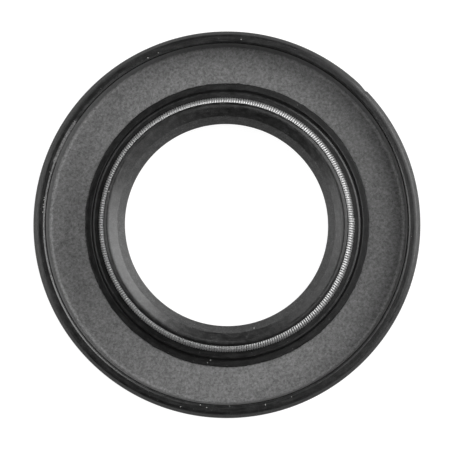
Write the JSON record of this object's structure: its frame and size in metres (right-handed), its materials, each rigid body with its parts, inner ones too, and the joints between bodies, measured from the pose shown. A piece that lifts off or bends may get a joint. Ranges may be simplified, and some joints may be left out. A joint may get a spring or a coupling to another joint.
{
  "type": "radial shaft seal",
  "caption": "Rubber-covered radial shaft seal with a bare steel case inside, a garter spring on its lip and a dust lip.",
  "frame": {"origin": "on the seal's axis, in the plane of its back face", "axes": "+Z along the axis, out of the spring side; X and Y are any two radii, since the seal is round"},
  "size_m": [0.055, 0.055, 0.007],
  "materials": {
    "rubber": "satin black nitrile rubber, glossier where it was moulded against polished steel",
    "phosphated_steel": "dark gray crystalline phosphate coat on sheet steel",
    "spring_steel": "bright drawn spring wire, close wound"
  },
  "bodies": {
    "root": {"rubber_body": "rubber", "steel_case": "phosphated_steel", "garter_spring": "spring_steel"}
  },
  "joints": []
}
